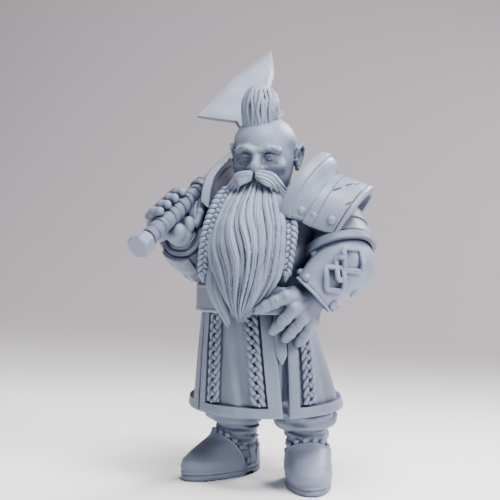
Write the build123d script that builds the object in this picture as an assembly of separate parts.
"""Cast resin display figure: a bearded dwarf warrior carrying a great axe on the right shoulder.

The figure faces -Y, its left hand is on the +X side, and it stands on Z = 0. Every casting is a
solid of its own, cut to its neighbours so that glued faces meet without overlapping, and short
brass rods pin the castings that carry load. All lengths are millimetres, at 1:24.
"""

from build123d import *
import math
import os

# ---------------------------------------------------------------- driving dimensions
SOLE_THICKNESS = 1.6
BOOT_TOP = 9.4
TROUSER_TOP = 16.0
HEM_HEIGHT = 12.9
WAIST_HEIGHT = 31.2
BELT_HEIGHT, BELT_WIDTH = 31.0, 4.8        # height of its middle at the sides, and its own width
BELT_TILT = -7.0                      # degrees that the belt rises over the belly
NECK_HEIGHT = 50.4

HEM_OVAL = (0.35, 0.0, 13.4, 12.1)    # centre, half width and half depth of the coat at its hem
WAIST_OVAL = (-1.2, -0.4, 9.2, 9.3)   # and at the waist, which leans to the right
COAT_THICKNESS = 1.3
FRONT_PANEL = (-45.0, 28.0)           # headings of the panels' borders, from -Y towards +X
LEFT_PANEL = (34.0, 139.0)
BACK_PANEL = (142.0, 218.0)
RIGHT_PANEL = (-139.0, -48.0)

LEFT_ANKLE, LEFT_FOOT_YAW = Vector(7.5, 0.2, 0), 18.0
RIGHT_ANKLE, RIGHT_FOOT_YAW = Vector(-5.4, 2.5, 0), -40.0

LEFT_SHOULDER = Vector(11.4, 0.3, 46.6)
LEFT_ELBOW = Vector(14.5, -4.4, 38.0)
LEFT_WRIST = Vector(10.7, -8.8, 33.4)
RIGHT_SHOULDER = Vector(-11.0, 0.3, 44.6)
RIGHT_ELBOW = Vector(-11.4, 0.9, 37.6)
RIGHT_WRIST = Vector(-11.9, -9.0, 42.5)

HEAD_CENTRE = Vector(0.3, 0.0, 55.5)
SKULL_HALF_WIDTH, SKULL_HALF_DEPTH = 5.4, 6.2

HAFT_FOOT = Vector(-15.8, -19.7, 41.3)            # centre of the pommel's end face
HAFT_DIRECTION = Vector(0.277, 0.806, 0.426).normalized()
EDGE_DIRECTION = Vector(-0.7533, -0.0861, 0.6527)  # square to the haft, towards the cutting edge
HAFT_RADIUS, GRIP_RADIUS = 1.2, 1.42
HAFT_LENGTH = 48.0
GRIP_FROM, GRIP_TO = 3.2, 18.4
FIST_AT = 11.1                                    # distance up the haft to the fist's middle
AXE_EYE_FROM, AXE_EYE_TO = 36.0, 44.5

FINGER_RADIUS = 0.95
RIVET_RADIUS = 0.75
STUD_RADIUS = 0.5
PIN_RADIUS = 0.6
PAULDRON_THICKNESS = 1.1

nodes = {}


# ---------------------------------------------------------------- building blocks
def bar(start, end, r_start, r_end=None):
    """Round bar between two points, straight or tapering."""
    r_end = r_start if r_end is None else r_end
    axis = end - start
    base = (Align.CENTER, Align.CENTER, Align.MIN)
    if abs(r_start - r_end) < 1e-6:
        solid = Cylinder(r_start, axis.length, align=base)
    else:
        solid = Cone(r_start, r_end, axis.length, align=base)
    return Plane(origin=start, z_dir=axis) * solid


def ball(centre, radius):
    return Pos(centre) * Sphere(radius)


def limb(points, radii):
    """Chain of tapering bars with a ball at every point."""
    solid = ball(points[0], radii[0])
    for i in range(1, len(points)):
        solid += bar(points[i - 1], points[i], radii[i - 1], radii[i])
        solid += ball(points[i], radii[i])
    return solid


def outline(z, x, y, half_width, half_depth, corners=16):
    """Level oval, closed and smooth."""
    angles = [2 * math.pi * i / corners for i in range(corners)]
    curve = Spline(
        *[(x + half_width * math.sin(a), y - half_depth * math.cos(a), z) for a in angles],
        periodic=True,
    )
    return make_face(curve)


def stack(*ovals):
    """Smooth solid through level ovals, each (z, x, y, half width, half depth)."""
    return loft([outline(*oval) for oval in ovals])


def oval_cone(bottom, top, shrink=0.0):
    """Straight-sided cone of the coat between two heights, moved inwards by shrink."""
    def oval(z):
        t = (z - HEM_HEIGHT) / (WAIST_HEIGHT - HEM_HEIGHT)
        x, y, half_width, half_depth = [h + (w - h) * t for h, w in zip(HEM_OVAL, WAIST_OVAL)]
        return outline(z, x, y, half_width - shrink, half_depth - shrink)
    return loft([oval(bottom), oval(top)], ruled=True)


def wedge(start, end):
    """Tall sector of a circle between two headings, in degrees from -Y towards +X."""
    reach = 40
    count = 6
    headings = [math.radians(start + (end - start) * i / count) for i in range(count + 1)]
    rim = [(reach * math.sin(a), -reach * math.cos(a)) for a in headings]
    return extrude(make_face(Polyline((0, 0), *rim, close=True)), 60)


def arch(x_foot, y_foot, z_foot, x_top, z_top, thickness):
    """Half-oval band standing over the shoulder, from a front foot over the top to a back foot."""
    foot, top = Vector(x_foot, 0, z_foot), Vector(x_top, 0, z_top)
    rise = top - foot
    up = rise.normalized()

    def half_oval(inset):
        width, height = y_foot - inset, rise.length - inset
        angles = [math.pi * i / 8 for i in range(9)]
        return [foot + Vector(0, -width * math.cos(a), 0) + up * (height * math.sin(a)) for a in angles]

    outer, inner = half_oval(0), half_oval(thickness)[::-1]
    edges = [Spline(*outer), Line(outer[-1], inner[0]), Spline(*inner), Line(inner[-1], outer[0])]
    return make_face(edges)


def shell_over_shoulder(*arches, thickness=PAULDRON_THICKNESS):
    """Curved plate lofted through arches, each (x_foot, y_foot, z_foot, x_top, z_top)."""
    return loft([arch(*a, thickness) for a in arches], ruled=True)


def mirror_arches(arches, dx=0.0, dz=0.0):
    return [(-x1 + dx, y, z1 + dz, -x2 + dx, z2 + dz) for x1, y, z1, x2, z2 in arches]


def largest(shape):
    return max(shape.solids(), key=lambda s: s.volume)


def add(name, shape, *neighbours, keep_all=False):
    """Stores a casting after cutting it to the neighbours that it is glued to."""
    for other in neighbours:
        shape = shape - nodes[other]
    nodes[name] = Compound(shape.solids()) if keep_all else largest(shape)


def drill(hole, *names):
    """Bores one hole through several castings."""
    for name in names:
        nodes[name] = largest(nodes[name] - hole)


def along_haft(distance, sideways=0.0, towards_edge=0.0):
    """Point at a distance up the haft, offset across it."""
    side = HAFT_DIRECTION.cross(EDGE_DIRECTION)
    return HAFT_FOOT + HAFT_DIRECTION * distance + side * sideways + EDGE_DIRECTION * towards_edge


# ---------------------------------------------------------------- lower body and coat
def make_coat():
    core = oval_cone(TROUSER_TOP, WAIST_HEIGHT, shrink=COAT_THICKNESS + 0.2)
    add("coat_core", core)
    chest = stack(
        (WAIST_HEIGHT, -1.2, -0.4, 8.8, 8.9), (34.0, -0.9, -0.2, 9.9, 9.8), (38, -0.4, 0, 10.7, 10.3),
        (43, 0, 0.3, 11.0, 8.8), (47, 0, 0.6, 9.6, 6.6), (NECK_HEIGHT, 0, 1.0, 4.6, 4.2),
    )
    add("torso", chest)
    skirt = oval_cone(HEM_HEIGHT, WAIST_HEIGHT) - oval_cone(HEM_HEIGHT - 1, WAIST_HEIGHT + 1, COAT_THICKNESS)
    add("coat_front_panel", skirt & wedge(*FRONT_PANEL))
    add("coat_left_panel", skirt & wedge(*LEFT_PANEL))
    add("coat_right_panel", skirt & wedge(*RIGHT_PANEL))
    add("coat_back_panel", skirt & wedge(*BACK_PANEL))


def make_belt():
    """Broad belt rising over the belly, with a ridged buckle plate in front."""
    half = BELT_WIDTH / 2
    tilted = Pos(0, 0, BELT_HEIGHT) * Rot(BELT_TILT, 0, 0)
    x, y, half_width, half_depth = WAIST_OVAL
    outer = (x, y, half_width + 1.15, half_depth + 1.15)
    band = tilted * stack((-half, *outer), (0, *outer), (half, *outer))
    panels = [n for n in nodes if n.startswith("coat_")]
    add("belt", band, "torso", *panels)
    plan = Polyline((-3.0, -10.6), (2.0, -12.5), (6.4, -11.6), (7.4, -9.6), (6.0, -8.5), (-2.0, -8.5), close=True)
    plate = tilted * Pos(0, 0, -half + 0.1) * extrude(make_face(plan), BELT_WIDTH - 0.2)
    add("belt_buckle", plate, "belt", "torso", *panels)


# ---------------------------------------------------------------- legs and boots
def make_leg(side, ankle, yaw):
    """Baggy trouser leg, boot, sole and the studs along the boot's toe seam."""
    hip_x = math.copysign(6.2, ankle.X)
    leg = stack(
        (TROUSER_TOP, hip_x, 0, 4.6, 4.8), (13.2, ankle.X * 0.95, ankle.Y * 0.8, 5.0, 5.0),
        (11.0, ankle.X, ankle.Y, 4.9, 4.9), (8.8, ankle.X, ankle.Y, 3.7, 3.7),
    )
    add(f"{side}_leg", leg)
    place = Pos(ankle) * Rot(0, 0, yaw)
    boot = place * stack(
        (SOLE_THICKNESS, 0, -3.5, 3.5, 7.5), (3.3, 0, -3.5, 3.65, 7.6), (5.2, 0, -2.3, 3.4, 6.0),
        (6.9, 0, -0.7, 3.3, 4.1), (BOOT_TOP, 0, 0, 3.2, 3.3),
    )
    add(f"{side}_boot", boot, f"{side}_leg")
    tread = place * extrude(outline(0, 0, -3.5, 3.75, 7.85), SOLE_THICKNESS)
    arch_cut = place * Pos(0, 0.2, 0) * Box(10, 1.8, 1.2)
    add(f"{side}_sole", tread - arch_cut)
    studs = []
    for heading in (-66, -40, -14, 14, 40, 66):
        a = math.radians(heading)
        at = Vector(3.62 * math.sin(a), -1.5 - 3.3 * math.cos(a), 6.7 - 1.9 * (1 - math.cos(a)))
        studs.append(place * ball(at, STUD_RADIUS))
    add(f"{side}_boot_studs", Compound(studs), f"{side}_boot", keep_all=True)


# ---------------------------------------------------------------- arms
def ring_on(start, end, r_out, r_in, from_t, to_t, flare=0.0):
    """Band round a straight limb, between two shares of its length."""
    axis = end - start
    a, b = start + axis * from_t, start + axis * to_t
    return bar(a, b, r_out, r_out + flare) - bar(a - axis * 0.05, b + axis * 0.05, r_in)


def rivets_round(start, end, radius, t, angles, reference):
    """Dome-headed rivets set round a limb at one share of its length."""
    axis = (end - start).normalized()
    across = (reference - axis * reference.dot(axis)).normalized()
    side = axis.cross(across)
    middle = start + (end - start) * t
    heads = []
    for degrees in angles:
        a = math.radians(degrees)
        heads.append(ball(middle + across * (radius * math.cos(a)) + side * (radius * math.sin(a)), RIVET_RADIUS))
    return Compound(heads)


def make_left_arm():
    upper = limb([LEFT_SHOULDER, LEFT_ELBOW], [4.3, 4.2])
    add("left_upper_arm", upper, "torso")
    for name, r_out, t0, t1 in (("upper", 5.2, 0.22, 0.42), ("lower", 5.5, 0.43, 0.63)):
        band = ring_on(LEFT_SHOULDER, LEFT_ELBOW, r_out, 4.0, t0, t1, 0.15)
        add(f"left_arm_lame_{name}", band, "left_upper_arm", "torso")
    forearm = bar(LEFT_ELBOW, LEFT_WRIST, 4.4, 2.7)
    add("left_forearm", forearm, "left_upper_arm", "torso", "belt")
    cuff = ring_on(LEFT_SHOULDER, LEFT_ELBOW, 6.0, 4.0, 0.67, 0.84)
    lames = ("left_arm_lame_upper", "left_arm_lame_lower")
    add("left_sleeve_cuff", cuff, "left_forearm", "left_upper_arm", *lames, "torso", "belt")
    axis = LEFT_WRIST - LEFT_ELBOW
    near, far = LEFT_ELBOW - axis * 0.05, LEFT_ELBOW + axis * 0.97
    bracer = bar(near, far, 5.4, 3.7)
    around = ("left_upper_arm", "left_forearm", "left_sleeve_cuff", "torso", "belt", "coat_left_panel")
    add("left_bracer", bracer, *around, *lames)
    heads = rivets_round(LEFT_ELBOW, LEFT_WRIST, 3.9, 0.86, (-80, -25, 30, 80), Vector(0.26, -0.96, 0.1))
    add("left_bracer_rivets", heads, "left_bracer", "left_forearm", "belt", keep_all=True)
    make_bracer_knot()


def make_bracer_knot():
    """Raised square interlace on the outer side of the left bracer."""
    axis = (LEFT_WRIST - LEFT_ELBOW).normalized()
    outward = Vector(0.45, -0.88, -0.1)
    outward = (outward - axis * outward.dot(axis)).normalized()
    centre = LEFT_ELBOW + (LEFT_WRIST - LEFT_ELBOW) * 0.3
    face = Plane(origin=centre + outward * 3.9, x_dir=axis, z_dir=outward) * Rot(0, 0, 45)
    rings = Pos(-0.9, -0.9, 0) * (Rectangle(3.4, 3.4) - Rectangle(1.8, 1.8))
    rings += Pos(0.9, 0.9, 0) * (Rectangle(3.4, 3.4) - Rectangle(1.8, 1.8))
    knot = face * extrude(rings, 1.9)
    add("left_bracer_knot", knot, "left_bracer", "left_sleeve_cuff", "left_bracer_rivets")


def make_left_hand():
    """Open hand laid flat on the front of the hip."""
    knuckles = [Vector(6.8, -12.1, 33.2), Vector(8.0, -11.9, 31.3), Vector(9.2, -10.8, 29.8), Vector(10.4, -9.3, 28.8)]
    tips = [Vector(2.5, -13.1, 31.2), Vector(4.3, -10.4, 27.4), Vector(6.0, -9.2, 26.0), Vector(7.8, -7.4, 25.1)]
    palm = limb([LEFT_WRIST, knuckles[0]], [2.0, 1.2])
    for knuckle in knuckles[1:]:
        palm += bar(LEFT_WRIST, knuckle, 2.0, 1.2)
    for knuckle, tip in zip(knuckles, tips):
        palm += limb([knuckle, tip], [1.2, 1.0])
    panels = [n for n in nodes if n.startswith("coat_")]
    add("left_hand", palm, "left_forearm", "left_bracer", "belt", "belt_buckle", "torso", *panels)


def make_right_arm():
    upper = limb([RIGHT_SHOULDER, RIGHT_ELBOW], [4.0, 3.65])
    add("right_upper_arm", upper, "torso")
    forearm = bar(RIGHT_ELBOW, RIGHT_WRIST, 3.6, 2.3)
    add("right_forearm", forearm, "right_upper_arm", "torso", "belt")
    axis = RIGHT_WRIST - RIGHT_ELBOW
    near, far = RIGHT_ELBOW + axis * 0.36, RIGHT_ELBOW + axis * 0.84
    bracer = bar(near, far, 4.4, 3.6)
    add("right_bracer", bracer, "right_forearm", "right_upper_arm", "torso", "belt")
    heads = rivets_round(RIGHT_ELBOW, RIGHT_WRIST, 3.85, 0.74, (-70, -10, 50, 110), Vector(-1, -0.2, -0.5))
    add("right_bracer_rivets", heads, "right_bracer", "right_forearm", keep_all=True)


def make_right_hand():
    """Closed fist with four fingers over the haft and the thumb along it."""
    reach = GRIP_RADIUS + FINGER_RADIUS
    heel = along_haft(FIST_AT - 0.6, sideways=-1.6, towards_edge=-2.9)
    palm = limb([RIGHT_WRIST, heel], [2.0, 1.9])
    palm += limb([along_haft(FIST_AT - 3.0, -2.7, -0.6), along_haft(FIST_AT + 3.0, -2.7, -0.6)], [1.5, 1.5])
    for i in range(4):
        at = FIST_AT + (i - 1.5) * 2.15
        turns = [math.radians(d) for d in (42, 85, 128, 170)]
        path = [along_haft(at, reach * math.cos(t), reach * math.sin(t)) for t in turns]
        palm += limb(path, [FINGER_RADIUS] * 4)
    thumb = [along_haft(FIST_AT + 1.4, -0.4, -3.8), along_haft(FIST_AT + 4.5, 1.3, -2.4)]
    palm += limb(thumb, [1.15, 1.0])
    add("right_hand", palm, "axe_grip_wrap", "axe_haft", "right_forearm", "right_bracer")


# ---------------------------------------------------------------- axe
def make_axe():
    top = along_haft(HAFT_LENGTH)
    add("axe_haft", bar(along_haft(0.8), top, HAFT_RADIUS, HAFT_RADIUS * 0.9))
    wrap = bar(along_haft(GRIP_FROM), along_haft(GRIP_TO), GRIP_RADIUS)
    step = (GRIP_TO - GRIP_FROM) / 8
    for i in range(8):
        low = GRIP_FROM + step * i
        wrap += bar(along_haft(low), along_haft(low + step), GRIP_RADIUS + 0.18, GRIP_RADIUS + 0.02)
    add("axe_grip_wrap", wrap, "axe_haft")
    collar = bar(along_haft(GRIP_TO + 0.2), along_haft(GRIP_TO + 1.0), 2.1, 2.2)
    collar += bar(along_haft(GRIP_TO + 1.0), along_haft(GRIP_TO + 2.0), 2.2, 1.9)
    add("axe_haft_collar", collar, "axe_haft", "axe_grip_wrap")
    face = Plane(origin=HAFT_FOOT, x_dir=EDGE_DIRECTION, z_dir=HAFT_DIRECTION)
    pommel = face * extrude(RegularPolygon(2.1, 8), 2.7)
    pommel = chamfer(pommel.edges().sort_by(Axis(HAFT_FOOT, HAFT_DIRECTION))[:8], 0.35)
    add("axe_pommel", pommel, "axe_haft", "axe_grip_wrap")
    make_axe_head()


def make_axe_head():
    """Bearded blade, thick at the eye and ground to a long angular edge, with a back spike."""
    side = HAFT_DIRECTION.cross(EDGE_DIRECTION)
    flat = Plane(origin=HAFT_FOOT, x_dir=HAFT_DIRECTION, z_dir=side)
    blade_outline = [
        (AXE_EYE_FROM, -0.6), (36.6, 2.2), (37.6, 4.3), (31.9, 9.66), (46.2, 10.56), (58.6, 9.9),
        (53.9, 6.2), (49.8, 4.5), (46.0, 3.0), (AXE_EYE_TO, 1.4), (AXE_EYE_TO, -0.6),
    ]
    blade = flat * extrude(make_face(Polyline(*blade_outline, close=True)), 1.3, both=True)
    edge_profile = [(-1.6, -1.3), (3.6, -1.1), (11.2, -0.12), (11.2, 0.12), (3.6, 1.1), (-1.6, 1.3)]
    across = Plane(origin=along_haft(25), x_dir=EDGE_DIRECTION, z_dir=HAFT_DIRECTION)
    ground = across * extrude(make_face(Polyline(*edge_profile, close=True)), 35)
    head = blade & ground
    head += bar(along_haft(AXE_EYE_FROM), along_haft(AXE_EYE_TO), 2.3, 2.1)
    spike_outline = [(37.5, -1.0), (38.8, -3.2), (43.6, -4.6), (42.6, -2.6), (43.2, -1.0)]
    spike = flat * extrude(make_face(Polyline(*spike_outline, close=True)), 0.7, both=True)
    add("axe_head", head + spike, "axe_haft")


# ---------------------------------------------------------------- shoulders
LEFT_COLLAR = [(5.0, 9.1, 46.6, 9.2, 55.8), (7.0, 9.3, 46.5, 11.0, 55.6), (8.9, 9.0, 46.0, 12.4, 52.6)]
LEFT_PLATE = [(9.0, 8.8, 45.2, 12.6, 52.4), (11.4, 8.5, 44.2, 15.2, 51.6), (14.4, 8.0, 43.4, 18.6, 50.3)]
RIGHT_COLLAR = [(-7.0, 8.3, 46.0, -6.4, 54.6), (-9.4, 8.6, 45.2, -9.2, 50.2)]
RIGHT_PLATE = [(-9.5, 8.4, 45.1, -9.7, 49.6), (-11.5, 8.0, 44.2, -12.8, 48.6), (-14.0, 7.4, 43.0, -16.2, 47.2)]
LEFT_RIVETS = [Vector(8.4, -8.55, 46.9), Vector(10.4, -8.45, 46.2), Vector(13.3, -8.1, 45.4)]


def make_pauldrons():
    add("left_pauldron_collar", shell_over_shoulder(*LEFT_COLLAR, thickness=1.5), "torso", "left_upper_arm")
    plate = shell_over_shoulder(*LEFT_PLATE)
    lames = ("left_arm_lame_upper", "left_arm_lame_lower", "left_sleeve_cuff")
    add("left_pauldron_plate", plate, "left_pauldron_collar", "torso", "left_upper_arm", *lames)
    domes = Compound([ball(p, RIVET_RADIUS) for p in LEFT_RIVETS])
    add("left_pauldron_rivets", domes, "left_pauldron_collar", "left_pauldron_plate", keep_all=True)
    axe = ("axe_haft", "axe_grip_wrap", "axe_haft_collar", "right_hand", "right_bracer")
    collar = shell_over_shoulder(*RIGHT_COLLAR, thickness=1.5)
    add("right_pauldron_collar", collar, "torso", "right_upper_arm", *axe)
    plate = shell_over_shoulder(*RIGHT_PLATE)
    arm = ("right_upper_arm", "right_forearm")
    add("right_pauldron_plate", plate, "right_pauldron_collar", "torso", *arm, *axe)


# ---------------------------------------------------------------- head and hair
def make_head():
    x, y, z = HEAD_CENTRE
    w, d = SKULL_HALF_WIDTH, SKULL_HALF_DEPTH
    skull = stack(
        (z - 6.4, x, y - 3.2, 2.2, 1.9), (z - 5.0, x, y - 2.3, 3.7, 3.6), (z - 2.4, x, y - 0.9, w * 0.9, d * 0.88),
        (z, x, y - 0.2, w * 0.98, d * 0.98), (z + 3.0, x, y, w, d), (z + 5.0, x, y + 0.1, w * 0.82, d * 0.86),
        (z + 6.2, x, y + 0.2, w * 0.45, d * 0.5), (z + 6.6, x, y + 0.2, 0.7, 0.8),
    )
    skull += limb([Vector(x, y - 5.9, z + 1.2), Vector(x, y - 6.9, z - 1.2)], [0.7, 1.1])
    for side in (-1, 1):
        ear = Pos(x + side * (w + 0.1), y + 0.5, z - 0.2) * Rot(0, 0, side * 22) * scale(Sphere(1), (0.8, 1.5, 2.3))
        skull += ear
    skull += stack((NECK_HEIGHT - 2.5, 0, 0.6, 3.6, 3.6), (z - 3, x, y + 0.6, 3.8, 3.8))
    add("head", skull, "torso", "left_pauldron_collar", "right_pauldron_collar")
    tuft = stack(
        (z + 4.3, x - 0.85, y - 0.8, 2.6, 2.8), (z + 7.5, x - 0.75, y - 0.6, 3.0, 3.2),
        (z + 10.3, x - 0.9, y - 0.1, 2.6, 3.0), (z + 11.7, x - 1.1, y, 1.4, 1.7),
    )
    add("topknot", tuft, "head")


def make_beard():
    x = HEAD_CENTRE.X
    body = stack(
        (51.6, x, -6.0, 3.2, 1.7), (48.5, x, -7.5, 4.8, 2.9), (45, x, -9.2, 5.8, 3.6), (41.5, x, -10.3, 6.1, 3.9),
        (37.5, x - 0.2, -11.2, 5.2, 3.5), (33.5, x - 0.6, -12.1, 3.2, 2.5), (29.4, x - 0.9, -12.9, 0.7, 0.7),
    )
    lock = limb([Vector(-4.2, -11.6, 36.5), Vector(-4.0, -12.7, 33.0), Vector(-2.6, -12.7, 29.2)], [1.5, 1.6, 0.5])
    dressed = ("head", "torso", "belt", "belt_buckle", "coat_front_panel", "left_hand", "left_pauldron_collar")
    add("beard", body + lock, *dressed)
    half = [Vector(x, -7.4, 52.6), Vector(x + 2.6, -7.3, 51.9), Vector(x + 4.6, -6.0, 50.3)]
    other = [Vector(2 * x - p.X, p.Y, p.Z) for p in half]
    lip = limb(half, [1.1, 1.15, 0.55]) + limb(other, [1.1, 1.15, 0.55])
    collars = ("left_pauldron_collar", "right_pauldron_collar")
    add("moustache", lip, "head", "beard", *collars)
    left = limb([Vector(4.6, -5.4, 50), Vector(6.9, -9.1, 43.5), Vector(7.0, -10.9, 35.9)], [1.0, 1.4, 0.6])
    right = limb([Vector(-4.7, -5.9, 50), Vector(-6.8, -9.6, 43), Vector(-7.6, -10.4, 35.2)], [1.0, 1.25, 0.6])
    arms = ("left_hand", "left_bracer", "left_pauldron_rivets", "left_pauldron_plate")
    add("left_braid", left, "head", "torso", "beard", "moustache", "belt", *collars, *arms)
    add("right_braid", right, "head", "torso", "beard", "moustache", "belt", "left_braid", *collars)


# ---------------------------------------------------------------- brass armature pins
def pin_between(name, pairs):
    """Brass rods through glued castings: each pair is (start, end, castings that it enters)."""
    rods = []
    for start, end, castings in pairs:
        rod = bar(start, end, PIN_RADIUS)
        drill(rod, *castings)
        rods.append(rod)
    nodes[name] = Compound([solid for rod in rods for solid in rod.solids()])


def make_pins():
    up = Vector(0, 0, 1)
    neck = Vector(0, 1.0, NECK_HEIGHT)
    pin_between("neck_pin", [(neck - up * 4, neck + up * 4, ("torso", "head"))])
    waist = Vector(0, 0, WAIST_HEIGHT)
    pin_between("waist_pin", [(waist - up * 5, waist + up * 5, ("coat_core", "torso"))])
    hips, ankles, shoulders, wrists = [], [], [], []
    for side, ankle, shoulder, sign in (
        ("left", LEFT_ANKLE, LEFT_SHOULDER, 1), ("right", RIGHT_ANKLE, RIGHT_SHOULDER, -1)
    ):
        hip = Vector(sign * 6.2, 0.5, TROUSER_TOP)
        hips.append((hip - up * 3, hip + up * 3.5, (f"{side}_leg", "coat_core")))
        base = Vector(ankle.X, ankle.Y, 8.8)
        ankles.append((base - up * 3.5, base + up * 3, (f"{side}_boot", f"{side}_leg")))
        inside = Vector(sign * 7.4, 0.4, 44.6)
        shoulders.append((inside, inside + Vector(sign * 4.4, 0, 0), ("torso", f"{side}_upper_arm")))
    left_axis = (LEFT_WRIST - LEFT_ELBOW).normalized()
    right_axis = (RIGHT_WRIST - RIGHT_ELBOW).normalized()
    wrists.append((LEFT_WRIST - left_axis * 3, LEFT_WRIST + left_axis * 1.4, ("left_forearm", "left_hand")))
    wrists.append((RIGHT_WRIST - right_axis * 3, RIGHT_WRIST + right_axis * 1.2, ("right_forearm", "right_hand")))
    pin_between("hip_pins", hips)
    pin_between("ankle_pins", ankles)
    pin_between("shoulder_pins", shoulders)
    pin_between("wrist_pins", wrists)


# ---------------------------------------------------------------- assembly
def build():
    make_coat()
    make_belt()
    make_leg("left", LEFT_ANKLE, LEFT_FOOT_YAW)
    make_leg("right", RIGHT_ANKLE, RIGHT_FOOT_YAW)
    make_left_arm()
    make_left_hand()
    make_axe()
    make_right_arm()
    make_right_hand()
    make_pauldrons()
    make_head()
    make_beard()
    make_pins()


def export():
    """Writes each casting with the figure's footprint box centred on the origin."""
    boxes = [shape.bounding_box() for shape in nodes.values()]
    low_x, high_x = min(b.min.X for b in boxes), max(b.max.X for b in boxes)
    low_y, high_y = min(b.min.Y for b in boxes), max(b.max.Y for b in boxes)
    centring = Pos(-(low_x + high_x) / 2, -(low_y + high_y) / 2, 0)
    os.makedirs("parts", exist_ok=True)
    for name, shape in nodes.items():
        solids = [centring * solid for solid in shape.solids()]
        export_step(solids[0] if len(solids) == 1 else Compound(solids), f"parts/{name}.step")
    print("castings", len(nodes), "moved by", centring.position)


build()
export()
